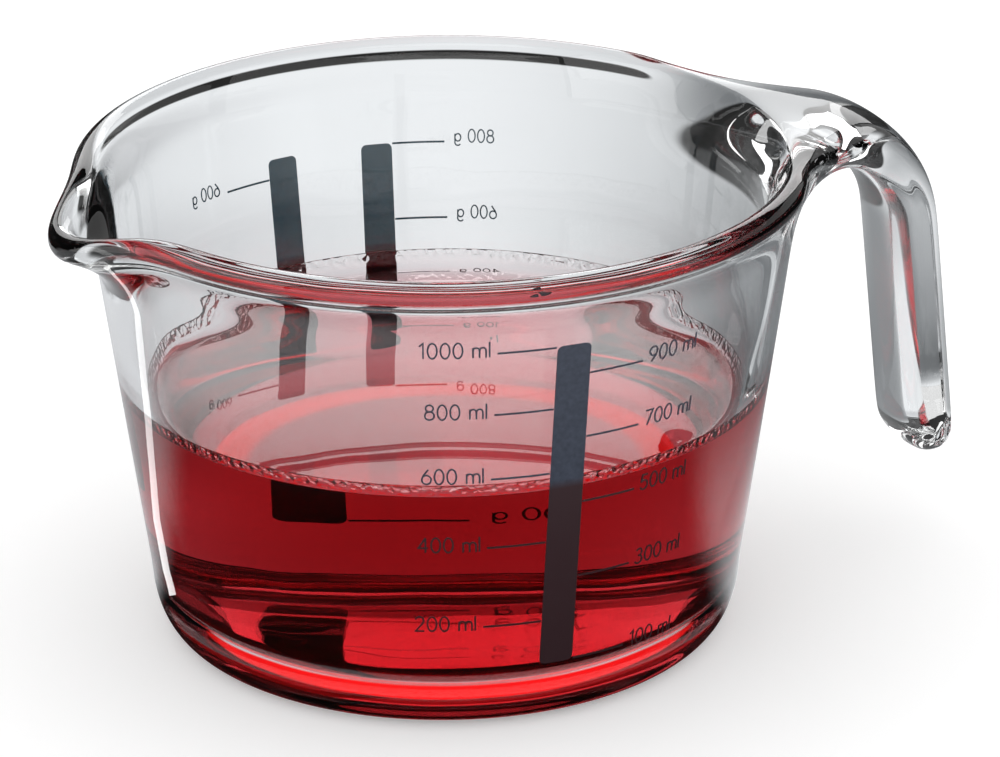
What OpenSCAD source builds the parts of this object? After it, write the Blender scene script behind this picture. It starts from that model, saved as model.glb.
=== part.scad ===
// One-litre measuring jug of pressed clear glass, with printed scales and a drink in it.
// The handle points along +X, the pouring lip along -X, and the litre scale faces -Y.
// The origin is at the middle of the base, on the table.

/* [Bowl] */
// Outer width over the rim bead
rim_w = 154.4; // [140:0.2:180]
// Height of the 1000 ml line above the table
litre_line_z = 87.9; // [80:0.1:110]
// Height of the rim above that line
rim_above_line = 15.6; // [12:0.1:30]
// Thickness of the rounded rim bead
rim_t = 6; // [5:0.1:7]
// How far the rim bead stands out past the wall under it
bead_overhang = 2.5; // [1.5:0.1:3]
// Outer width of the wall where the heel rounding ends
foot_w = 126.2; // [120:0.2:132]
// Height at which the heel rounding ends
heel_h = 13; // [8:0.5:13.5]
// How far the heel rounding draws in, from the wall to the flat of the base
heel_in = 6.6; // [4:0.1:14]
// Thickness of the wall at the top of the heel
wall_t = 7.6; // [6:0.1:9]
// Thickness of the wall where it is thinnest
thin_wall_t = 5.4; // [4:0.1:6]
// Height at which the wall is thinnest
thin_wall_z = 60; // [50:1:72]
// How far the rounding inside the mouth reaches down from the rim
mouth_depth = 13.5; // [10:0.5:18]
// Thickness of the floor
floor_t = 3.8; // [3:0.1:7]

/* [Pouring lip] */
// How far the lip stands out past the rim
lip_reach = 9.4; // [5:0.2:13]
// How far the lip's edge dips below the rim
lip_dip = 4.6; // [2:0.2:6]
// Height of the flared part of the wall under the rim
lip_depth = 24; // [18:1:32]
// Half of the angle that the lip takes up on the rim
lip_half_angle = 34; // [26:2:40]
// Direction of the lip, from the handle
lip_turn = 183; // [175:1:185]

/* [Handle] */
// How far the handle runs straight out from the rim before it bends
saddle_run = 7.55; // [3:0.05:14]
// Height of the handle's lower end above the table
handle_foot = 20.5; // [12:0.5:40]
// Thickness of the grip
grip_t = 12.4; // [9:0.2:15]
// Width of the grip
grip_w = 24.6; // [18:0.2:30]
// Width of the handle where it grows out of the rim
root_w = 54; // [40:1:62]
// Angle at which the grip leans away from the bowl
grip_lean = 6; // [2:0.5:9]
// Radius of the hook's bend, at the middle of its thickness
hook_r = 24; // [16:0.5:28]
// How far the handle's saddle stands above the rim
handle_rise = 0.6; // [0:0.1:2]

/* [Filling] */
// Reading of the litre scale that the drink's surface stands at, in millilitres
fill_ml = 520; // [200:20:900]
// How far the drink's edge climbs up the glass
climb_h = 3.8; // [1:0.1:5]
// How far in from the glass the climb begins
climb_run = 5; // [3:0.5:8]
// Gap left between the drink and the curved glass
fill_gap = 0.1; // [0.05:0.05:0.3]

/* [Printed scales] */
// Width of the scale bars
bar_w = 7.2; // [5:0.2:9]
// Thickness of the printed enamel
ink_t = 0.12; // [0.06:0.02:0.3]
// Gap between the enamel and the true round of the glass
ink_gap = 0.02; // [0.01:0.01:0.05]
// Length of a graduation line
tick_l = 12; // [6:0.1:14]
// Thickness of a graduation line
tick_t = 0.42; // [0.3:0.02:0.8]
// Height of the digits on the litre scale
digit_h = 3.4; // [2.4:0.1:4]
// Height of the digits on the two scales of the back
back_digit_h = 2.9; // [2.4:0.1:4]
// Thickness of the strokes of the digits
stroke_t = 0.36; // [0.24:0.02:0.5]
// Gap between two prints that lie side by side
print_gap = 0.15; // [0.1:0.05:0.4]
// Gap between a graduation line and its number on the litre scale
label_gap = 1.6; // [0.8:0.1:3]
// Gap between a graduation line and its number on the back
back_label_gap = 2.4; // [0.8:0.1:3]
// How far a number's foot lies below its line on the litre scale
label_drop = 0.75; // [0:0.05:1.5]
// How far a number's foot lies below its line on the back
back_label_drop = 0.1; // [0:0.05:1.5]
// Angle from the point opposite the litre bar to the flour bar
flour_bar_turn = 10; // [7:0.2:12]
// Angle from the point opposite the litre bar to the sugar bar
sugar_bar_turn = 8.4; // [7:0.2:12]
// How far the upper ends of the two bars on the back lie below the 1000 ml line
back_bar_drop = 8.1; // [2:0.1:24]
// How far the two bars on the back run on below their lowest line
back_bar_tail = 0.9; // [0:0.1:1.2]

/* [Hidden] */
$fn = 96;

glass_colour = [0.86, 0.9, 0.91, 0.45];
drink_colour = [0.55, 0.05, 0.07];
ink_colour = [0.25, 0.28, 0.34];
jug_h = litre_line_z + rim_above_line;
overrun = jug_h / 10;

// Main radii and heights of the bowl
rim_r = rim_w / 2;
bead_r = rim_t / 2;
bead_at = rim_r - bead_r;
bead_z = jug_h - bead_r;
neck_r = rim_r - bead_overhang;
neck_z = jug_h - rim_t;
foot_r = foot_w / 2;
base_r = foot_r - heel_in;

// The outer wall is straight in section. The inner wall bows, so the glass is thinnest
// at mid height, and it opens to the bead in a rounding
outer_slope = (neck_r - foot_r) / (neck_z - heel_h);
function outer_at(z) = foot_r + outer_slope * (z - heel_h);
function bow(z) = pow((z - thin_wall_z) / (thin_wall_z - heel_h), 2);
function bowed_at(z) = outer_at(z) - thin_wall_t - (wall_t - thin_wall_t) * bow(z);

// Heights of the scales' lines over the table, as shares of the height of the 1000 ml line
litre_line_shares = [[100, 0.164], [200, 0.28], [300, 0.388], [400, 0.4925], [500, 0.587],
  [600, 0.674], [700, 0.758], [800, 0.842], [900, 0.9235], [1000, 1]];
flour_line_shares = [[100, 0.207], [200, 0.359], [400, 0.628], [600, 0.858]];
sugar_line_shares = [[100, 0.168], [200, 0.293], [400, 0.519], [600, 0.711], [800, 0.907]];
function line_z(shares, amount) = litre_line_z * lookup(amount, shares);

// Steps of the arcs in the bowl's section
heel_steps = 8;
bead_steps = 14;
bead_start = -70;
bead_end = 150;

// The heel outside is a quarter of an ellipse, from the flat up to the wall
heel_arc = [for (i = [0 : heel_steps - 1]) let (a = 90 * i / heel_steps)
  [base_r + (foot_r - base_r) * sin(a), heel_h * (1 - cos(a))]];
// The bead is part of a circle, from under its outer side over the top to its inner side
bead_arc = [for (i = [0 : bead_steps]) let (a = bead_start + (bead_end - bead_start) * i / bead_steps)
  [bead_at + bead_r * cos(a), bead_z + bead_r * sin(a)]];
// The rounding inside the mouth grows from nothing up to the end of the bead
mouth_z = jug_h - mouth_depth;
bead_end_z = bead_z + bead_r * sin(bead_end);
mouth_reach = bead_at + bead_r * cos(bead_end) - bowed_at(bead_end_z);
function inner_at(z) = bowed_at(z) + mouth_reach * pow(max(0, (z - mouth_z) / (bead_end_z - mouth_z)), 2);
// The heel inside is part of a circle that runs into the wall at the heel's height
inner_foot_slope = outer_slope + 2 * (wall_t - thin_wall_t) / (thin_wall_z - heel_h);
inner_heel_r = (heel_h - floor_t) / (1 - sin(atan(inner_foot_slope)));
inner_heel_turn = 90 - atan(inner_foot_slope);
inner_heel_at = inner_at(heel_h) - inner_heel_r * cos(atan(inner_foot_slope));
inner_heel_arc = [for (i = [0 : heel_steps]) let (a = -90 + inner_heel_turn * (1 - i / heel_steps))
  [inner_heel_at + inner_heel_r * cos(a), floor_t + inner_heel_r * (1 + sin(a))]];

// Where the lip's flare begins, and the whole section: from the flat of the base up the outside,
// over the bead and down the inside to the flat of the floor
flare_z = jug_h - lip_depth;
flare_steps = 5;
wall_steps = 5;
function between(low, high, steps) = [for (i = [0 : steps - 1]) low + (high - low) * i / steps];
function outer_wall(low_z, high_z, steps) = [for (z = between(low_z, high_z, steps)) [outer_at(z), z]];
function inner_wall(high_z, low_z, steps) = [for (z = between(high_z, low_z, steps)) [inner_at(z), z]];
upper_inner = [for (p = inner_wall(bead_end_z, flare_z, flare_steps + 1)) if (p[1] < bead_end_z) p];
section = concat(heel_arc, [[foot_r, heel_h]], outer_wall(flare_z, neck_z, flare_steps), [[neck_r, neck_z]],
  bead_arc, upper_inner, inner_wall(flare_z, heel_h, wall_steps),
  inner_heel_arc);

// The flare grows from nothing at flare_z to its full reach under the bead
flare_power = 2.2;
lip_power = 7;
lip_steps = 32;
plain_steps = 78;
lip_turns = between(lip_half_angle, -lip_half_angle, lip_steps);
plain_turns = between(-lip_half_angle, lip_half_angle - 360, plain_steps);
function flare(z) = pow(min(1, max(0, (z - flare_z) / (neck_z - flare_z))), flare_power);
function lip_swell(turn) = turn > -lip_half_angle ? pow(cos(90 * turn / lip_half_angle), lip_power) : 0;
function flared(p, turn) = [
  p[0] + lip_reach * lip_swell(turn) * flare(p[1]),
  p[1] - lip_dip * lip_swell(turn) * flare(p[1])
];
function swung(p, turn) = [p[0] * cos(turn), p[0] * sin(turn), p[1]];

// Faces of a skin over rings of equally many points
function side_faces(rings, count) = [for (i = [0 : rings - 2]) for (j = [0 : count - 1])
  let (k = (j + 1) % count)
  each [[i * count + j, (i + 1) * count + k, (i + 1) * count + j],
    [i * count + j, i * count + k, (i + 1) * count + k]]];
// An end face of a rounded ring, filled in round a middle point
function fan_faces(start, count, middle) = [for (j = [0 : count - 1])
  [start + j, middle, start + (j + 1) % count]];
function turned_over(faces) = [for (f = faces) [f[0], f[2], f[1]]];

// The bowl with its drawn-out lip: the section swung round the axis, swelling out and
// dipping towards the middle of the lip
module bowl() {
  turns = concat(lip_turns, plain_turns);
  count = len(turns);
  rings = len(section);
  skin = [for (p = section) for (t = turns) swung(flared(p, t), lip_turn + t)];
  polyhedron(points = concat(skin, [[0, 0, 0], [0, 0, floor_t]]), convexity = 6, faces = concat(
    side_faces(rings, count), fan_faces(0, count, rings * count),
    turned_over(fan_faces((rings - 1) * count, count, rings * count + 1))));
}

// The handle is a skin over rings: a saddle that grows out of the rim and narrows,
// a hook that turns it down, and a straight grip that leans out a little
saddle_steps = 5;
hook_steps = 7;
grip_steps = 3;
end_steps = 4;
ring_steps = 20;
corner_power = 2.5;
end_turn = 84;
wrap_power = 1.5;
rise_power = 3;
handle_top = jug_h + handle_rise;
hook_z = handle_top - grip_t / 2 - hook_r * (1 - sin(grip_lean));
grip_length = hook_z - handle_foot;
lean_run = grip_length * tan(grip_lean);
root_x = bead_at;
hook_x = root_x + saddle_run;
grip_x = hook_x + hook_r * cos(grip_lean);
root_depth_share = 0.6;
root_sink_share = 0.25;
root_low_z = neck_z - grip_t * root_depth_share;
root_top_z = jug_h - rim_t * root_sink_share;
saddle_power = 1.25;
saddle_end_share = 0.62;

// Each ring is middle x, middle z, direction, half thickness, half width and how far it wraps the rim
function half_width(x) = let (end_x = hook_x + hook_r * saddle_end_share)
  grip_w / 2 + (root_w - grip_w) / 2 * pow(max(0, (end_x - x) / (end_x - root_x)), saddle_power);
root_ring = [root_x, (root_low_z + root_top_z) / 2, 0, (root_top_z - root_low_z) / 2, root_w / 2, 1];
saddle_rings = [for (i = [1 : saddle_steps]) let (s = i / saddle_steps, x = root_x + (hook_x - root_x) * s,
  low_z = handle_top - grip_t - (handle_top - grip_t - root_low_z) * pow(1 - s, rise_power),
  top_z = handle_top - (handle_top - root_top_z) * pow(1 - s, rise_power))
  [x, (low_z + top_z) / 2, 0, (top_z - low_z) / 2, half_width(x), pow(1 - s, wrap_power)]];
hook_rings = [for (i = [1 : hook_steps]) let (a = (90 - grip_lean) * i / hook_steps,
  x = hook_x + hook_r * sin(a))
  [x, handle_top - grip_t / 2 - hook_r * (1 - cos(a)), -a, grip_t / 2, half_width(x), 0]];
grip_rings = [for (i = [1 : grip_steps]) let (s = (1 - grip_t / 2 / grip_length) * i / grip_steps)
  [grip_x + lean_run * s, hook_z - grip_length * s, grip_lean - 90, grip_t / 2, grip_w / 2, 0]];
end_rings = [for (i = [1 : end_steps]) let (a = end_turn * i / end_steps,
  s = 1 - grip_t / 2 / grip_length * (1 - sin(a)))
  [grip_x + lean_run * s, hook_z - grip_length * s, grip_lean - 90,
    grip_t / 2 * cos(a), (grip_w - grip_t) / 2 + grip_t / 2 * cos(a), 0]];
handle_line = concat([root_ring], saddle_rings, hook_rings, grip_rings, end_rings);

function signed_power(v, power) = sign(v) * pow(abs(v), power);
// Middle of the glass at a height: of the wall under the bead, and of the bead above
function middle_of_glass(z) = z < neck_z ? (inner_at(z) + outer_at(z)) / 2 : bead_at;
function handle_point(l, a) = let (
  side = l[4] * signed_power(cos(a), 2 / corner_power),
  up = l[3] * signed_power(sin(a), 2 / corner_power),
  z = l[1] + up * cos(l[2]),
  plain_x = l[0] - up * sin(l[2]),
  round_x = sqrt(pow(middle_of_glass(z), 2) - pow(side, 2)),
  wrapped_x = l[0] == root_x ? round_x : plain_x - (bead_at - sqrt(pow(bead_at, 2) - pow(side, 2))) * l[5])
  [l[5] > 0 ? wrapped_x : plain_x, side, z];

module handle() {
  rings = len(handle_line);
  skin = [for (l = handle_line) for (j = [0 : ring_steps - 1]) handle_point(l, -360 * j / ring_steps)];
  first = [middle_of_glass(root_ring[1]), 0, root_ring[1]];
  last_ring = handle_line[rings - 1];
  last = [last_ring[0] + (grip_x + lean_run - last_ring[0]) / 2, 0, handle_foot];
  polyhedron(points = concat(skin, [first, last]), convexity = 6, faces = concat(
    side_faces(rings, ring_steps), fan_faces(0, ring_steps, rings * ring_steps),
    turned_over(fan_faces((rings - 1) * ring_steps, ring_steps, rings * ring_steps + 1))));
}

module glass_jug() {
  color(glass_colour) {
    bowl();
    handle();
  }
}

// The drink fills the bowl from the floor up, follows the glass, and climbs it a little at its edge
fill_z = line_z(litre_line_shares, fill_ml);
climb_power = 3;
climb_steps = 4;
function climbed(s) = [inner_at(fill_z + climb_h) - fill_gap - climb_run * (1 - s),
  fill_z + climb_h * pow(s, climb_power)];
module red_drink() {
  wet_wall = concat(inner_wall(fill_z + climb_h, heel_h, wall_steps), inner_heel_arc);
  color(drink_colour)
    rotate_extrude()
      polygon(concat([[0, fill_z]], [for (i = [0 : climb_steps - 1]) climbed(i / climb_steps)],
        [for (p = wet_wall) [p[0] - fill_gap, p[1]]], [[0, floor_t]]));
}

// Enamel lies on the outer wall: a thin cone of it, between two heights
module enamel(low_z, high_z) {
  rotate_extrude()
    polygon([[outer_at(low_z) + ink_gap, low_z], [outer_at(low_z) + ink_gap + ink_t, low_z],
      [outer_at(high_z) + ink_gap + ink_t, high_z], [outer_at(high_z) + ink_gap, high_z]]);
}
// Cuts a flat shape, drawn upright with its middle at no width, out of the enamel
module printed(turn, low_z, high_z) {
  intersection() {
    enamel(low_z, high_z);
    rotate([0, 0, turn])
      rotate([90, 0, 90])
        linear_extrude(height = rim_w)
          children();
  }
}
function turn_of(run, z) = run / outer_at(z) * 180 / PI;

// Strokes of the digits and units, as shares of the digits' height: points, and
// arcs as middle x, middle y, radius x, radius y, first angle, last angle
width_shares = [0.54, 0.3, 0.52, 0.52, 0.56, 0.52, 0.54, 0.52, 0.54, 0.54];
zero_shares = [[[0.27, 0.5, 0.27, 0.5, 0, 360]]];
one_shares = [[[0.02, 0.8], [0.24, 1], [0.24, 0]]];
two_shares = [[[0.25, 0.73, 0.25, 0.27, 165, -38], [0.02, 0], [0.52, 0]]];
three_shares = [[[0.24, 0.76, 0.22, 0.24, 150, -88]], [[0.24, 0.27, 0.27, 0.27, 94, -152]]];
four_shares = [[[0.42, 1], [0.42, 0]], [[0.42, 1], [0, 0.3], [0.56, 0.3]]];
five_shares = [[[0.48, 1], [0.1, 1], [0.05, 0.5]], [[0.25, 0.31, 0.27, 0.31, 140, -150]]];
six_shares = [[[0.27, 0.3, 0.27, 0.3, 0, 360]], [[0.02, 0.38], [0.1, 0.6], [0.38, 1]]];
seven_shares = [[[0, 1], [0.52, 1], [0.16, 0]]];
eight_shares = [[[0.27, 0.77, 0.22, 0.23, 0, 360]], [[0.27, 0.28, 0.27, 0.28, 0, 360]]];
nine_shares = [[[0.27, 0.7, 0.27, 0.3, 0, 360]], [[0.52, 0.62], [0.44, 0.4], [0.16, 0]]];
digit_shares = [zero_shares, one_shares, two_shares, three_shares, four_shares,
  five_shares, six_shares, seven_shares, eight_shares, nine_shares];
m_shares = [[[0, 0], [0, 0.66]], [[0.19, 0.44, 0.19, 0.22, 180, 0], [0.38, 0]],
  [[0.57, 0.44, 0.19, 0.22, 180, 0], [0.76, 0]]];
l_shares = [[[0, 0], [0, 1.02]]];
g_shares = [[[0.23, 0.36, 0.23, 0.29, 0, 360]], [[0.46, 0.64], [0.23, -0.04, 0.23, 0.22, 0, -150]]];
m_width_share = 0.76;
l_width_share = 0;
g_width_share = 0.46;
space_share = 0.2;
spacing_share = 0.2;

function glyph(c) = c == "m" ? m_shares : c == "l" ? l_shares : c == "g" ? g_shares
  : c == " " ? [] : digit_shares[ord(c) - ord("0")];
function glyph_share(c) = c == "m" ? m_width_share : c == "l" ? l_width_share
  : c == "g" ? g_width_share : c == " " ? space_share : width_shares[ord(c) - ord("0")];
function width_to(words, n) = n == 0 ? 0
  : width_to(words, n - 1) + (glyph_share(words[n - 1]) + spacing_share) * digit_h;
function label_w(words) = width_to(words, len(words)) - spacing_share * digit_h;

// A stroke's middle line, and the outline that its thickness gives it
arc_step = 15;
function arc(q, grow) = let (n = ceil(abs(q[5] - q[4]) / arc_step)) [for (i = [0 : n])
  let (a = q[4] + (q[5] - q[4]) * i / n)
  [q[0] * digit_h + (q[2] * digit_h + grow) * cos(a), q[1] * digit_h + (q[3] * digit_h + grow) * sin(a)]];
function middle_line(stroke) = [for (q = stroke) each len(q) == 2 ? [q * digit_h] : arc(q, 0)];
function unit(v) = v / norm(v);
function beside(line, i, side) = let (
  before = i > 0 ? unit(line[i] - line[i - 1]) : unit(line[1] - line[0]),
  after = i < len(line) - 1 ? unit(line[i + 1] - line[i]) : before,
  along = unit(before + after))
  line[i] + side * stroke_t / 2 / max(0.5, along * before) * [-along[1], along[0]];
function is_loop(stroke) = len(stroke) == 1 && abs(stroke[0][5] - stroke[0][4]) == 360;

module stroke_shape(stroke) {
  if (is_loop(stroke)) {
    difference() {
      polygon(arc(stroke[0], stroke_t / 2));
      polygon(arc(stroke[0], -stroke_t / 2));
    }
  } else {
    line = middle_line(stroke);
    last = len(line) - 1;
    polygon(concat([for (i = [0 : last]) beside(line, i, 1)], [for (i = [last : -1 : 0]) beside(line, i, -1)]));
  }
}

// One line of digits and its unit, from its left edge to the right
module lettering(words) {
  for (n = [0 : len(words) - 1])
    translate([width_to(words, n), 0])
      for (stroke = glyph(words[n]))
        stroke_shape(stroke);
}

// Places on the wall: the litre bar faces -Y, and the two back bars stand either side of +Y
litre_turn = -90;
flour_turn = 90 + flour_bar_turn;
sugar_turn = 90 - sugar_bar_turn;
corner_r = bar_w / 6;
corner_steps = 4;

module bar(turn, low_z, high_z) {
  half_h = (high_z - low_z) / 2;
  outline = [for (q = [0 : 3]) for (i = [0 : corner_steps]) let (a = 90 * (q + i / corner_steps))
    [(q == 0 || q == 3 ? 1 : -1) * (bar_w / 2 - corner_r) + corner_r * cos(a),
      (q < 2 ? 1 : -1) * (half_h - corner_r) + corner_r * sin(a)]];
  color(ink_colour)
    printed(turn, low_z - corner_r, high_z + corner_r)
      translate([0, low_z + half_h])
        polygon(outline);
}

// A graduation: a line out from its bar, and its number with the unit beyond.
// Side is -1 for a number on the left of the bar and 1 for one on the right.
// The numbers are drawn at the litre scale's size, and shrunk for the back
module mark(bar_turn, side, z, words, size = 1, gap = label_gap, drop = label_drop) {
  line_mid = bar_w / 2 + print_gap + tick_l / 2;
  words_w = label_w(words) * size;
  words_mid = bar_w / 2 + print_gap + tick_l + gap + words_w / 2;
  foot = z - drop;
  color(ink_colour) {
    printed(bar_turn + side * turn_of(line_mid, z), z - tick_t / 2, z + tick_t / 2)
      translate([-tick_l / 2, z - tick_t])
        square([tick_l, tick_t * 2]);
    printed(bar_turn + side * turn_of(words_mid, z), foot - digit_h / 2, foot + digit_h * 1.5)
      translate([-words_w / 2, foot])
        scale([size, size])
          lettering(words);
  }
}

module litre_mark(ml) {
  mark(litre_turn, ml % 200 == 0 ? -1 : 1, line_z(litre_line_shares, ml), str(ml, " ml"));
}
module back_mark(turn, side, z, words) {
  mark(turn, side, z, words, back_digit_h / digit_h, back_label_gap, back_label_drop);
}
module flour_mark(g) {
  back_mark(flour_turn, 1, line_z(flour_line_shares, g), str(g, " g"));
}
module sugar_mark(g) {
  back_mark(sugar_turn, -1, line_z(sugar_line_shares, g), str(g, " g"));
}

module litre_bar() {
  bar(litre_turn, litre_line_z * litre_line_shares[0][1] - tick_t / 2, litre_line_z + tick_t / 2);
}
module back_bar(turn, shares) {
  bar(turn, litre_line_z * shares[0][1] - back_bar_tail, litre_line_z - back_bar_drop);
}
module flour_bar() {
  back_bar(flour_turn, flour_line_shares);
}
module sugar_bar() {
  back_bar(sugar_turn, sugar_line_shares);
}

glass_jug();
red_drink();
litre_bar();
flour_bar();
sugar_bar();
litre_mark(100);  // mark_100_ml
litre_mark(200);  // mark_200_ml
litre_mark(300);  // mark_300_ml
litre_mark(400);  // mark_400_ml
litre_mark(500);  // mark_500_ml
litre_mark(600);  // mark_600_ml
litre_mark(700);  // mark_700_ml
litre_mark(800);  // mark_800_ml
litre_mark(900);  // mark_900_ml
litre_mark(1000);  // mark_1000_ml
flour_mark(100);  // mark_flour_100_g
flour_mark(200);  // mark_flour_200_g
flour_mark(400);  // mark_flour_400_g
flour_mark(600);  // mark_flour_600_g
sugar_mark(100);  // mark_sugar_100_g
sugar_mark(200);  // mark_sugar_200_g
sugar_mark(400);  // mark_sugar_400_g
sugar_mark(600);  // mark_sugar_600_g
sugar_mark(800);  // mark_sugar_800_g
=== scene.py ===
import math

import bmesh
import bpy
from mathutils import Matrix, Vector


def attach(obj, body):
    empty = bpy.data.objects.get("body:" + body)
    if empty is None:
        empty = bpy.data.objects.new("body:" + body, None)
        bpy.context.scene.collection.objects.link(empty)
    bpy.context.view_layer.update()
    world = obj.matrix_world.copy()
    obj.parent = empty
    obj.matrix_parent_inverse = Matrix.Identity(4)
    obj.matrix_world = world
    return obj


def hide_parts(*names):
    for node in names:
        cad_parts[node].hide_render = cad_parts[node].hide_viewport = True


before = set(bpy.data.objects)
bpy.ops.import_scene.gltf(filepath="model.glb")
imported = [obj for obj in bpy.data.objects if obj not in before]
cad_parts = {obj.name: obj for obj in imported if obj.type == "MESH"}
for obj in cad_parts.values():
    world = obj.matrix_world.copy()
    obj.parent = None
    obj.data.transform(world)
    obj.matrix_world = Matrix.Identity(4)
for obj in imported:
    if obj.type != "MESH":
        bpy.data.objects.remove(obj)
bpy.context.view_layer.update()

photo_width, photo_height = 1000, 757
camera_place = Vector((-0.342315, -0.915564, 0.462506))
camera_right = Vector((0.93177855, -0.36300608, -0.00391478))
camera_up = Vector((0.14389955, 0.35942385, 0.9220127))
camera_back = Vector((-0.33328915, -0.85967499, 0.38713984))

camera_data = bpy.data.cameras.new("photo_camera")
camera_data.sensor_width = 36
camera_data.lens = 180
camera_data.clip_start, camera_data.clip_end = 0.05, 20
camera = bpy.data.objects.new("photo_camera", camera_data)
axes = Matrix((camera_right, camera_up, camera_back)).transposed()
camera.matrix_world = Matrix.Translation(camera_place) @ axes.to_4x4()
bpy.context.scene.collection.objects.link(camera)
bpy.context.scene.camera = camera
bpy.context.scene.view_settings.view_transform = "Standard"

# Light passes many walls of glass and drink on its way to the camera
bpy.context.scene.cycles.max_bounces = 24
bpy.context.scene.cycles.transmission_bounces = 24
bpy.context.scene.cycles.glossy_bounces = 12


# Floor and studio
# A matt white table top stands under an even white sky, which lights the jug from all round.
# Clear glass shows little but its surroundings, so the glass and the drink see a studio of their
# own: a table with grey and dark sides, the jug's painted shadow and painted red light by its base,
# a nearly black sky, and sheets of bright cloth.
table_r, table_gap, base_r = 6, 0.0003, 0.0565
table_white = (0.94, 0.94, 0.94, 1)
white_side, grey_side, pale_side = (0.86, 0.88, 0.9, 1), (0.17, 0.18, 0.19, 1), (0.66, 0.67, 0.69, 1)
# Of these, the second is the jug's painted shadow on the table before it, and the third is painted red light
# from the drink under its base
dark_behind, painted_shadow_before, painted_red_light = (0.02, 0.02, 0.02, 1), (0.01, 0.01, 0.01, 1), (1.3, 0.014, 0.016, 1)
camera_lift, sky_in_glass = 0.24, 0.03

floor_mesh = bmesh.new()
bmesh.ops.create_circle(floor_mesh, cap_ends=True, radius=table_r, segments=64)
bmesh.ops.translate(floor_mesh, verts=floor_mesh.verts, vec=(0, 0, -table_gap))
floor_data = bpy.data.meshes.new("floor")
floor_mesh.to_mesh(floor_data)
floor_mesh.free()
floor = bpy.data.objects.new("floor", floor_data)
bpy.context.scene.collection.objects.link(floor)

floor_paint = bpy.data.materials.new("white_table")
floor_paint.use_nodes = True
nodes, links = floor_paint.node_tree.nodes, floor_paint.node_tree.links
nodes.clear()
output = nodes.new("ShaderNodeOutputMaterial")
matt = nodes.new("ShaderNodeBsdfDiffuse")
matt.inputs["Color"].default_value = table_white
place = nodes.new("ShaderNodeTexCoord").outputs["Object"]
far = nodes.new("ShaderNodeVectorMath")
far.operation = "LENGTH"
links.new(place, far.inputs[0])
heading = nodes.new("ShaderNodeVectorMath")
heading.operation = "NORMALIZE"
links.new(place, heading.inputs[0])


def worked_out(operation, one, other):
    """A sum in the material that is being made, of one of its values and a second value or number."""
    node = nodes.new("ShaderNodeMath")
    node.operation = operation
    links.new(one, node.inputs[0])
    if isinstance(other, float):
        node.inputs[1].default_value = other
    else:
        links.new(other, node.inputs[1])
    return node.outputs[0]


def soft_step(value, low, high):
    """0 up to the first value and 1 past the second, or the other way round where it is lower."""
    step = nodes.new("ShaderNodeMapRange")
    step.interpolation_type = "SMOOTHSTEP"
    step.inputs["From Min"].default_value, step.inputs["From Max"].default_value = low, high
    links.new(value, step.inputs["Value"])
    return step.outputs["Result"]


def side_of_table(degrees, none, full):
    """1 in one direction from the jug and 0 in the others, with a soft edge between two angles."""
    a = math.radians(degrees)
    facing = nodes.new("ShaderNodeVectorMath")
    facing.operation = "DOT_PRODUCT"
    links.new(heading.outputs[0], facing.inputs[0])
    facing.inputs[1].default_value = (math.cos(a), math.sin(a), 0)
    return soft_step(facing.outputs["Value"], math.cos(math.radians(none)), math.cos(math.radians(full)))


def laid_over(under, where, also, tint):
    """One more tint on the table where two shares are both high."""
    blend = nodes.new("ShaderNodeMix")
    blend.data_type = "RGBA"
    links.new(worked_out("MULTIPLY", where, also), blend.inputs["Factor"])
    if isinstance(under, tuple):
        blend.inputs["A"].default_value = under
    else:
        links.new(under, blend.inputs["A"])
    blend.inputs["B"].default_value = tint
    return blend.outputs["Result"]


# What the glass sees of the table: white, grey to the right, paler grey near by on the left,
# ending behind, a painted shadow of the jug before it, and painted red light under the base,
# where light has passed the drink
reach = far.outputs["Value"]
painted_shadow_reach = worked_out("MULTIPLY", soft_step(reach, 0.19, 0.13), soft_step(reach, base_r, base_r + 0.001))
seen = laid_over(white_side, side_of_table(4, 66, 22), soft_step(reach, 0.07, 0.16), grey_side)
seen = laid_over(seen, side_of_table(122, 58, 24), soft_step(reach, 0.3, 0.22), pale_side)
seen = laid_over(seen, side_of_table(58, 95, 78), soft_step(reach, 0.36, 0.43), dark_behind)
# Painted shadow: the jug's shadow on the table close before it, dark in the glass
seen = laid_over(seen, side_of_table(245, 98, 82), painted_shadow_reach, painted_shadow_before)
# Painted light: the drink's red light on the table under the base, glowing though it is no lamp
seen = laid_over(seen, soft_step(reach, 0.042, 0.045), soft_step(reach, 0.0528, 0.0518), painted_red_light)
bright = nodes.new("ShaderNodeEmission")
links.new(seen, bright.inputs["Color"])

# The camera sees the table lifted to white, with the jug's shadow kept
rays = nodes.new("ShaderNodeLightPath")
paper = nodes.new("ShaderNodeEmission")
links.new(worked_out("MULTIPLY", rays.outputs["Is Camera Ray"], camera_lift), paper.inputs["Strength"])
table = nodes.new("ShaderNodeAddShader")
links.new(matt.outputs[0], table.inputs[0])
links.new(paper.outputs[0], table.inputs[1])
in_glass = worked_out("MAXIMUM", rays.outputs["Is Transmission Ray"], rays.outputs["Is Glossy Ray"])
mixed = nodes.new("ShaderNodeMixShader")
links.new(in_glass, mixed.inputs[0])
links.new(table.outputs[0], mixed.inputs[1])
links.new(bright.outputs[0], mixed.inputs[2])
links.new(mixed.outputs[0], output.inputs["Surface"])
floor_data.materials.append(floor_paint)

# The sky is white for the picture and the table, and nearly black in the glass
world = bpy.data.worlds.new("studio")
world.use_nodes = True
bpy.context.scene.world = world
nodes, links = world.node_tree.nodes, world.node_tree.links
rays = nodes.new("ShaderNodeLightPath")
strength = nodes.new("ShaderNodeMapRange")
strength.inputs["To Min"].default_value = sky_in_glass
in_picture = worked_out("MAXIMUM", rays.outputs["Is Camera Ray"], rays.outputs["Is Diffuse Ray"])
links.new(in_picture, strength.inputs["Value"])
nodes["Background"].inputs["Color"].default_value = (1, 1, 1, 1)
links.new(strength.outputs["Result"], nodes["Background"].inputs["Strength"])


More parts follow.
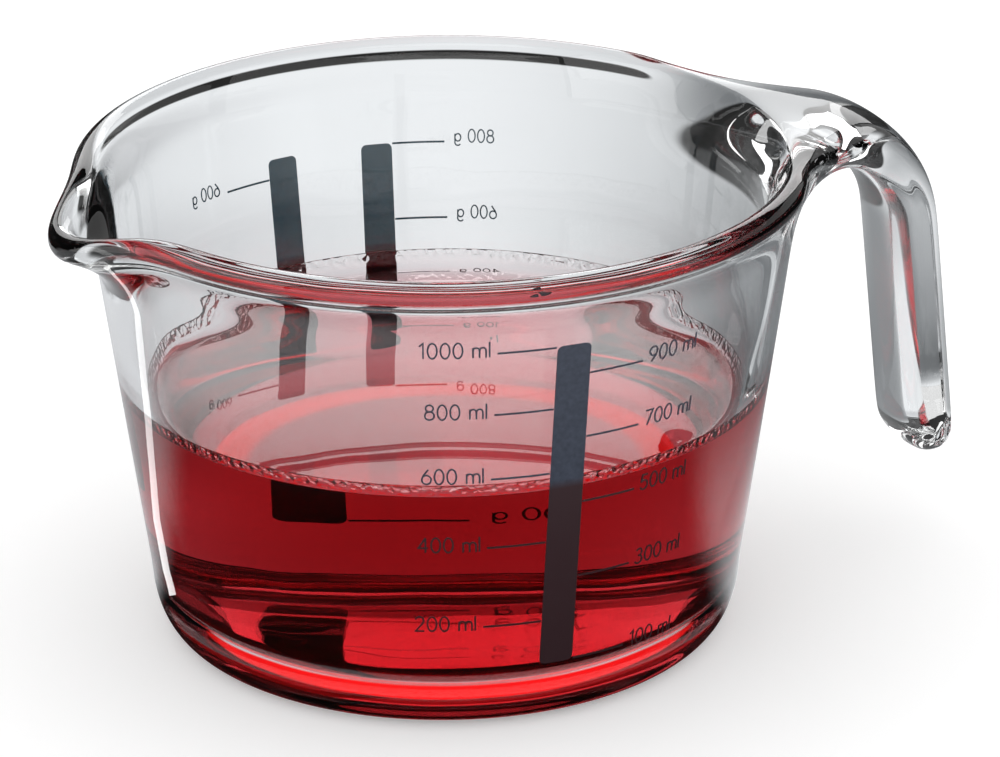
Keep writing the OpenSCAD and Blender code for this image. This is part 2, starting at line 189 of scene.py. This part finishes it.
def card(name, bm, strength):
    """A sheet of bright cloth in the studio, which only the glass and the drink see."""
    data = bpy.data.meshes.new(name)
    bm.to_mesh(data)
    bm.free()
    cloth = bpy.data.materials.new(name)
    cloth.use_nodes = True
    cloth.node_tree.nodes.clear()
    glow = cloth.node_tree.nodes.new("ShaderNodeEmission")
    glow.inputs["Strength"].default_value = strength
    output = cloth.node_tree.nodes.new("ShaderNodeOutputMaterial")
    cloth.node_tree.links.new(glow.outputs[0], output.inputs["Surface"])
    data.materials.append(cloth)
    sheet = bpy.data.objects.new(name, data)
    bpy.context.scene.collection.objects.link(sheet)
    sheet.visible_camera = sheet.visible_diffuse = sheet.visible_shadow = False
    return sheet


def ring_sheet(low, high, first, last):
    """Part of a round sheet between two (radius, height) places and two directions in degrees."""
    bm = bmesh.new()
    a = math.radians(first)
    side = bm.edges.new([bm.verts.new((r * math.cos(a), r * math.sin(a), z)) for r, z in (low, high)])
    bmesh.ops.spin(bm, geom=[*side.verts, side], axis=(0, 0, 1), cent=(0, 0, 0),
                   angle=math.radians(last - first), steps=24)
    return bm


# Directions are seen from the jug: the camera stands at 250 degrees, and 70 is straight behind
card("bright_panel_behind", ring_sheet((2, 0.54), (2, 1.3), 40, 104), 2.4)
card("window_to_the_left", ring_sheet((2.2, 0.02), (2.2, 1.9), 158, 202), 1.6)
card("room_in_front", ring_sheet((2.4, 0.02), (2.4, 2.0), 204, 332), 0.8)
card("lamp_over_the_camera", ring_sheet((1.2, 1.75), (0.75, 1.9), 205, 290), 1.2)
card("panel_to_the_right", ring_sheet((2.2, 0.38), (2.2, 1.2), -20, 38), 0.55)


# Glass jug: bowl, pouring lip and handle
# One piece of clear pressed glass, fire polished, with thick walls and a round bead at the rim.
# The bowl is spun from its section, the lip is drawn out of the rim, and the handle grows
# out of a patch under the rim, so the glass has one closed skin with no seam inside.
rim_r, jug_h, bead_r = 0.0772, 0.1035, 0.003
neck_r, neck_z = 0.0747, 0.0975
foot_r, heel_h = 0.0631, 0.013
wall_t, thin_wall_t, thin_wall_z, floor_t, mouth_z = 0.0076, 0.0054, 0.06, 0.0038, 0.09
bead_at, bead_z, bead_end = rim_r - bead_r, jug_h - bead_r, math.radians(150)
bead_end_z = bead_z + bead_r * math.sin(bead_end)
outer_slope = (neck_r - foot_r) / (neck_z - heel_h)
foot_lean = math.atan(outer_slope + 2 * (wall_t - thin_wall_t) / (thin_wall_z - heel_h))
inner_heel_r = (heel_h - floor_t) / (1 - math.sin(foot_lean))
round_steps = 96


def outer_at(z):
    return foot_r + outer_slope * (z - heel_h)


def bowed_at(z):
    """The inner wall bows, so the glass is thinnest at mid height."""
    bow = ((z - thin_wall_z) / (thin_wall_z - heel_h)) ** 2
    return outer_at(z) - thin_wall_t - (wall_t - thin_wall_t) * bow


def inner_at(z):
    """The inner wall, with the rounding that opens it to the bead."""
    opening = bead_at + bead_r * math.cos(bead_end) - bowed_at(bead_end_z)
    return bowed_at(z) + opening * max(0, (z - mouth_z) / (bead_end_z - mouth_z)) ** 2


def inner_heel(steps):
    """The rounding between the floor and the wall inside, from the floor up."""
    at = inner_at(heel_h) - inner_heel_r * math.cos(foot_lean)
    angles = [-math.pi / 2 + (math.pi / 2 - foot_lean) * i / steps for i in range(steps + 1)]
    return [(at + inner_heel_r * math.cos(a), floor_t + inner_heel_r * (1 + math.sin(a))) for a in angles]


def bead_place(degrees):
    """Radius and height on the bead, from 0 at its outermost line to 90 at its top."""
    a = math.radians(degrees)
    return bead_at + bead_r * math.cos(a), bead_z + bead_r * math.sin(a)


def direction_of(place):
    """Direction of a place from the jug's axis, in degrees."""
    return math.degrees(math.atan2(place.y, place.x))


def spun(points, steps, grow=1.0):
    """A bmesh spun from a section of (radius, height) points that starts and ends on the axis."""
    bm = bmesh.new()
    line = [bm.verts.new((r * grow, 0, z)) for r, z in points]
    edges = [bm.edges.new(pair) for pair in zip(line, line[1:])]
    bmesh.ops.spin(bm, geom=line + edges, axis=(0, 0, 1), cent=(0, 0, 0), angle=math.tau,
                   steps=steps, use_merge=True)
    bmesh.ops.remove_doubles(bm, verts=bm.verts, dist=1e-6)
    bmesh.ops.recalc_face_normals(bm, faces=bm.faces)
    return bm


def finished(bm, name, material, levels):
    """The object of a bmesh, smooth and subdivided, riding on the part's one body."""
    data = bpy.data.meshes.new(name)
    bm.to_mesh(data)
    bm.free()
    data.polygons.foreach_set("use_smooth", [True] * len(data.polygons))
    data.materials.append(material)
    piece = bpy.data.objects.new(name, data)
    bpy.context.scene.collection.objects.link(piece)
    rounding = piece.modifiers.new("rounding", "SUBSURF")
    rounding.levels = rounding.render_levels = levels
    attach(piece, "root")
    return piece


# The rows of the section, from the middle of the base round the bead to the middle of the floor
heel = [math.radians(90 * i / 7) for i in range(7)]
floor_rows = [0.034, 0.02, 0]
section = [(0, 0), (0.034, 0), (0.052, 0)]
section += [(base_r + (foot_r - base_r) * math.sin(a), heel_h * (1 - math.cos(a))) for a in heel]
section += [(outer_at(z / 1000), z / 1000) for z in (13, 20, 36, 54, 70, 79, 83, 87, 90, 92.5, 95)]
section += [bead_place(degrees) for degrees in range(-70, 151, 20)]
section += [(inner_at(z / 1000), z / 1000) for z in (100.2, 98, 95.5, 93, 89.5, 84, 76, 66, 54, 42, 31, 21)]
section += inner_heel(8)[::-1]
section += [(r, floor_t) for r in floor_rows]

# A cage that is subdivided draws in a little, and growing it by this much makes up for it
glass = spun(section, round_steps, 6 / (4 + 2 * math.cos(math.tau / round_steps)))

# The lip swells out of the plain rim over this angle and dips towards its middle
lip_reach, lip_dip, flare_z = 0.0094, 0.0046, 0.0795
lip_turn, lip_half_angle = 183, 34
lip_point, lip_rise = 7, 2.2
for v in glass.verts:
    turn = (direction_of(v.co) - lip_turn + 180) % 360 - 180
    if v.co.z > flare_z and abs(turn) < lip_half_angle:
        swell = math.cos(math.radians(90 * turn / lip_half_angle)) ** lip_point
        swell *= min(1, (v.co.z - flare_z) / (neck_z - flare_z)) ** lip_rise
        radius = math.hypot(v.co.x, v.co.y)
        v.co.x *= 1 + lip_reach * swell / radius
        v.co.y *= 1 + lip_reach * swell / radius
        v.co.z -= lip_dip * swell

handle_reach, handle_foot, grip_t, grip_w, root_w = 0.1177, 0.0205, 0.0124, 0.0246, 0.054
grip_lean, hook_r, handle_top = math.radians(6), 0.024, 0.1041
hook_z = handle_top - grip_t / 2 - hook_r * (1 - math.sin(grip_lean))
grip_length = hook_z - handle_foot
lean_run = grip_length * math.tan(grip_lean)
grip_x = handle_reach - grip_t / 2 - lean_run
hook_x = grip_x - hook_r * math.cos(grip_lean)
root_low_z, root_top_z = neck_z - grip_t * 0.6, jug_h - bead_r / 2
flare_share, flare_curve, grip_roundness = 0.62, 1.25, 2.6
hook_rings, grip_rings, dome_turns = 9, 5, (20, 38, 54)
end_share = grip_t / 2 / grip_length


def half_width(x):
    """Half the handle's width, which flares from the hook to the rim."""
    end_x = hook_x + hook_r * flare_share
    flare = max(0, (end_x - x) / (end_x - bead_at)) ** flare_curve
    return grip_w / 2 + (root_w - grip_w) / 2 * flare


# The handle's rings: middle x, middle z, direction, half thickness, half width, wrap round the rim
rings = []
for s in (0.45, 0.75, 1):
    x = bead_at + (hook_x - bead_at) * s
    low = handle_top - grip_t - (handle_top - grip_t - root_low_z) * (1 - s) ** 3
    top = handle_top - (handle_top - root_top_z) * (1 - s) ** 3
    rings.append((x, (low + top) / 2, 0, (top - low) / 2, half_width(x), (1 - s) ** 1.5))
for i in range(1, hook_rings + 1):
    a = (math.pi / 2 - grip_lean) * i / hook_rings
    x = hook_x + hook_r * math.sin(a)
    rings.append((x, handle_top - grip_t / 2 - hook_r * (1 - math.cos(a)), -a, grip_t / 2, half_width(x), 0))
for i in range(1, grip_rings + 1):
    s = (1 - end_share) * i / grip_rings
    rings.append((grip_x + lean_run * s, hook_z - grip_length * s, grip_lean - math.pi / 2,
                  grip_t / 2, grip_w / 2, 0))
for degrees in dome_turns:
    a = math.radians(degrees)
    s = 1 - end_share * (1 - math.sin(a))
    rings.append((grip_x + lean_run * s, hook_z - grip_length * s, grip_lean - math.pi / 2,
                  grip_t / 2 * math.cos(a), (grip_w - grip_t) / 2 + grip_t / 2 * math.cos(a), 0))

# The patch that the handle grows out of: across the rim from the wall below up to the bead's top
across = glass.verts.layers.float.new("across")
along = glass.verts.layers.float.new("along")
patch_half_turn = 6 * 360 / round_steps
patch_rows = [0.09, 0.0925, 0.095] + [bead_place(degrees)[1] for degrees in range(-70, 71, 20)]


def in_patch(face):
    middle = face.calc_center_median()
    outside = math.hypot(middle.x, middle.y) > (bead_at if middle.z > neck_z else neck_r - bead_r)
    between = patch_rows[0] < middle.z < patch_rows[-1]
    return abs(direction_of(middle)) < patch_half_turn and between and outside


patch = [f for f in glass.faces if in_patch(f)]
for v in {v for f in patch for v in f.verts}:
    v[across] = direction_of(v.co) / patch_half_turn
    row = min(range(len(patch_rows)), key=lambda i: abs(patch_rows[i] - v.co.z))
    v[along] = 2 * row / (len(patch_rows) - 1) - 1

# Each ring is the patch pushed on, with its outline brought from a rectangle to a rounded one.
# The tiny number keeps the patch's very middle from a division by nothing.
tiny = 1e-6
for x, z, direction, half_t, half_w, wrap in rings:
    grown = bmesh.ops.extrude_face_region(glass, geom=patch)
    bmesh.ops.delete(glass, geom=[f for f in patch if f.is_valid], context="FACES")
    patch = [g for g in grown["geom"] if isinstance(g, bmesh.types.BMFace)]
    for v in {v for f in patch for v in f.verts}:
        spread = max(abs(v[across]), abs(v[along]), tiny)
        u, w = v[across] / spread, v[along] / spread
        outline = (abs(u) ** grip_roundness + abs(w) ** grip_roundness) ** (1 / grip_roundness)
        share = spread / max(outline, tiny)
        side, up = half_w * u * share, half_t * w * share
        bend = (bead_at - math.sqrt(bead_at ** 2 - side ** 2)) * wrap
        v.co = (x - up * math.sin(direction) - bend, side, z + up * math.cos(direction))

# Wires left inside the handle go, so that its skin is smooth, and a dome closes the last ring
bmesh.ops.delete(glass, geom=[e for e in glass.edges if not e.link_faces], context="EDGES")
bmesh.ops.delete(glass, geom=[v for v in glass.verts if not v.link_faces], context="VERTS")
direction, flat = rings[-1][2], math.cos(math.radians(dome_turns[-1]))
for v in {v for f in patch for v in f.verts}:
    spread = max(abs(v[across]), abs(v[along]))
    depth = grip_t / 2 * (math.sqrt(1 - (flat * spread) ** 2) - math.sqrt(1 - flat ** 2))
    v.co += Vector((depth * math.cos(direction), 0, depth * math.sin(direction)))
bmesh.ops.recalc_face_normals(glass, faces=glass.faces)

# Fire polishing softens the place where the handle leaves the rim, and leaves the inner wall as it is
polish_from_x, polish_to_x, polish_from_z = 0.064, hook_x + 0.008, 0.0795
inner_skin, polish_rounds = 0.0012, 12
root = [v for v in glass.verts if polish_from_x < v.co.x < polish_to_x and v.co.z > polish_from_z
        and math.hypot(v.co.x, v.co.y) > inner_at(min(v.co.z, bead_end_z)) + inner_skin]
for _ in range(polish_rounds):
    bmesh.ops.smooth_vert(glass, verts=root, factor=0.5, use_axis_x=True, use_axis_y=True, use_axis_z=True)

clear_glass = bpy.data.materials.new("clear_glass")
clear_glass.use_nodes = True
nodes, links = clear_glass.node_tree.nodes, clear_glass.node_tree.links
shader = nodes["Principled BSDF"]
shader.inputs["Roughness"].default_value = 0
shader.inputs["IOR"].default_value = 1.5
shader.inputs["Transmission Weight"].default_value = 1
place = nodes.new("ShaderNodeTexCoord").outputs["Object"]

# Pressed glass is never quite even: broad waves from the mould, and a breath of grey in the melt
waves = nodes.new("ShaderNodeTexNoise")
waves.inputs["Scale"].default_value = 38
waves.inputs["Detail"].default_value = 1
links.new(place, waves.inputs["Vector"])
swell = nodes.new("ShaderNodeBump")
swell.inputs["Strength"].default_value = 0.14
swell.inputs["Distance"].default_value = 0.001
links.new(waves.outputs["Fac"], swell.inputs["Height"])
links.new(swell.outputs["Normal"], shader.inputs["Normal"])
melt = nodes.new("ShaderNodeValToRGB")
melt.color_ramp.elements[0].color = (0.975, 0.985, 0.985, 1)
melt.color_ramp.elements[1].color = (0.995, 1, 1, 1)
links.new(waves.outputs["Fac"], melt.inputs["Fac"])
links.new(melt.outputs["Color"], shader.inputs["Base Color"])

glass_jug = finished(glass, "clear_glass_jug", clear_glass, 2)
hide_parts("glass_jug")

# The photograph has a white streak down the wall on the left. These are pixels along its middle,
# across and down, and how far its two sides are from them.
streak_pixels = [(137, 318), (142.5, 370), (148, 420), (152.5, 475), (156.5, 520), (166, 570), (173, 594)]
streak_sides, strip_gap = (-3, 3.5), 0.022


def mirrored_place(across_px, down_px):
    """Where lit cloth has to stand, a gap from the outer wall, for the wall to mirror it at a pixel."""
    pixels_of_lens = photo_width * camera_data.lens / camera_data.sensor_width
    ray = camera_right * (across_px - photo_width / 2) - camera_up * (down_px - photo_height / 2)
    ray = (ray - camera_back * pixels_of_lens).normalized()
    radius = outer_at(camera_place.z)
    a = ray.xy.length_squared - (outer_slope * ray.z) ** 2
    b = camera_place.xy.dot(ray.xy) - outer_slope * ray.z * radius
    c = camera_place.xy.length_squared - radius ** 2
    wall = camera_place + ray * ((-b - math.sqrt(b * b - a * c)) / a)
    facing = Vector((wall.x, wall.y, -outer_slope * outer_at(wall.z))).normalized()
    onward = ray.reflect(facing)
    return wall + onward * (strip_gap / onward.xy.length)


strip = bmesh.new()
rows = [[strip.verts.new(mirrored_place(x + side, y)) for side in streak_sides] for x, y in streak_pixels]
for upper, lower in zip(rows, rows[1:]):
    strip.faces.new((*upper, *lower[::-1]))
card("strip_beside_the_wall", strip, 3.2).visible_transmission = False


# Red drink
# Half a litre of a clear red drink, which wets the glass and climbs it a little at its edge.
# It laps into the wall so that no air shows between them, and deeper into the floor, so that
# the glass under it glows red as in the photograph.
drink_z, climb_h, climb_run, climb_end = 0.05314, 0.0038, 0.005, 0.0001
wet, sunk, sunk_heel_share, heel_steps = 0.0003, 0.0017, 0.7, 10
contact_z = drink_z + climb_h
contact_r = inner_at(contact_z)
drink_line = [(r, floor_t - wet - sunk) for r in floor_rows[::-1]]
for i, (r, z) in enumerate(inner_heel(heel_steps)):
    s = i / heel_steps
    drink_line.append((r + wet + sunk * sunk_heel_share * math.sin(math.pi * s), z - (wet + sunk) * (1 - s)))
drink_line += [(inner_at(z / 1000) + wet, z / 1000) for z in (17, 22, 28, 34, 40, 46, 51, 54.5, 56)]
drink_line += [(contact_r + wet, contact_z), (contact_r - climb_end, contact_z)]
drink_line += [(contact_r - climb_run * d, drink_z + climb_h * (1 - d) ** 3)
               for d in (0.05, 0.1, 0.17, 0.26, 0.37, 0.5, 0.66, 0.82, 1)]
drink_line += [(r, drink_z) for r in (0.054, 0.045, 0.03, 0.015, 0)]
drink = spun(drink_line, 128)

red_liquid = bpy.data.materials.new("red_liquid")
red_liquid.use_nodes = True
nodes, links = red_liquid.node_tree.nodes, red_liquid.node_tree.links
shader = nodes["Principled BSDF"]
shader.inputs["Base Color"].default_value = (1, 1, 1, 1)
shader.inputs["Roughness"].default_value = 0
shader.inputs["IOR"].default_value = 1.375
shader.inputs["Transmission Weight"].default_value = 1

# Tiny bubbles stand along the edge that climbs the glass, and the surface is calm elsewhere
bubbles_from, bubbles_full = drink_z + 0.0012, drink_z + 0.0026
place = nodes.new("ShaderNodeTexCoord").outputs["Object"]
bubbles = nodes.new("ShaderNodeTexVoronoi")
bubbles.inputs["Scale"].default_value = 620
links.new(place, bubbles.inputs["Vector"])
height = nodes.new("ShaderNodeSeparateXYZ")
links.new(place, height.inputs["Vector"])
edge = nodes.new("ShaderNodeMapRange")
edge.inputs["From Min"].default_value = bubbles_from
edge.inputs["From Max"].default_value = bubbles_full
links.new(height.outputs["Z"], edge.inputs["Value"])
froth = nodes.new("ShaderNodeBump")
froth.inputs["Strength"].default_value = 0.8
froth.inputs["Distance"].default_value = 0.0008
links.new(worked_out("MULTIPLY", bubbles.outputs["Distance"], edge.outputs["Result"]), froth.inputs["Height"])
links.new(froth.outputs["Normal"], shader.inputs["Normal"])
colour = nodes.new("ShaderNodeVolumeAbsorption")
colour.inputs["Color"].default_value = (0.79, 0.02, 0.09, 1)
colour.inputs["Density"].default_value = 44
links.new(colour.outputs[0], nodes["Material Output"].inputs["Volume"])

red_drink = finished(drink, "red_drink_body", red_liquid, 1)
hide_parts("red_drink")


# Printed scales
# Dark blue-grey ceramic enamel, screen printed on the outside of the glass and fired on.
# The bars, ticks, digits and units are the part's own solids, and get the ink here.
def enamel(name, thin, thick, painted_drink_light):
    """A grain of thinner and thicker ink, painted darker and redder where the drink stands behind it: painted
    red light and shade from the drink, fixed to this height.
    """
    smooth, rough, soft_above, soft_below = 0.34, 0.46, 0.0005, 0.0015
    material = bpy.data.materials.new(name)
    material.use_nodes = True
    nodes, links = material.node_tree.nodes, material.node_tree.links
    shader = nodes["Principled BSDF"]
    grain = nodes.new("ShaderNodeTexNoise")
    grain.inputs["Scale"].default_value = 900
    grain.inputs["Detail"].default_value = 4
    ink = nodes.new("ShaderNodeValToRGB")
    ink.color_ramp.elements[0].position, ink.color_ramp.elements[0].color = 0.3, (*thick, 1)
    ink.color_ramp.elements[1].position, ink.color_ramp.elements[1].color = 0.7, (*thin, 1)
    links.new(grain.outputs["Fac"], ink.inputs["Fac"])
    place = nodes.new("ShaderNodeTexCoord").outputs["Object"]
    links.new(place, grain.inputs["Vector"])
    height = nodes.new("ShaderNodeSeparateXYZ")
    links.new(place, height.inputs["Vector"])
    # Painted light: below the drink's line the ink takes a darker, redder colour for the drink's light
    # showing through it
    filled = nodes.new("ShaderNodeMapRange")
    filled.inputs["From Min"].default_value = contact_z + soft_above
    filled.inputs["From Max"].default_value = contact_z - soft_below
    links.new(height.outputs["Z"], filled.inputs["Value"])
    tinted = nodes.new("ShaderNodeMix")
    tinted.data_type = "RGBA"
    tinted.inputs["B"].default_value = (*painted_drink_light, 1)
    links.new(filled.outputs["Result"], tinted.inputs["Factor"])
    links.new(ink.outputs["Color"], tinted.inputs["A"])
    links.new(tinted.outputs["Result"], shader.inputs["Base Color"])
    gloss = nodes.new("ShaderNodeMapRange")
    gloss.inputs["To Min"].default_value, gloss.inputs["To Max"].default_value = smooth, rough
    links.new(grain.outputs["Fac"], gloss.inputs["Value"])
    links.new(gloss.outputs["Result"], shader.inputs["Roughness"])
    return material


# The back scales are written bluer, because the photograph shows them so through the glass
# The third colour of each ink is painted light: the drink's red light and shade through the enamel below the
# drink's line
front_ink = enamel("fired_enamel", (0.043, 0.054, 0.084), (0.028, 0.036, 0.058), (0.034, 0.012, 0.016))
back_ink = enamel("fired_enamel_behind", (0.052, 0.145, 0.205), (0.04, 0.11, 0.155), (0.045, 0.025, 0.03))
for name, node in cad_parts.items():
    if name not in ("glass_jug", "red_drink"):
        for slot in node.material_slots:
            slot.material = back_ink if "flour" in name or "sugar" in name else front_ink
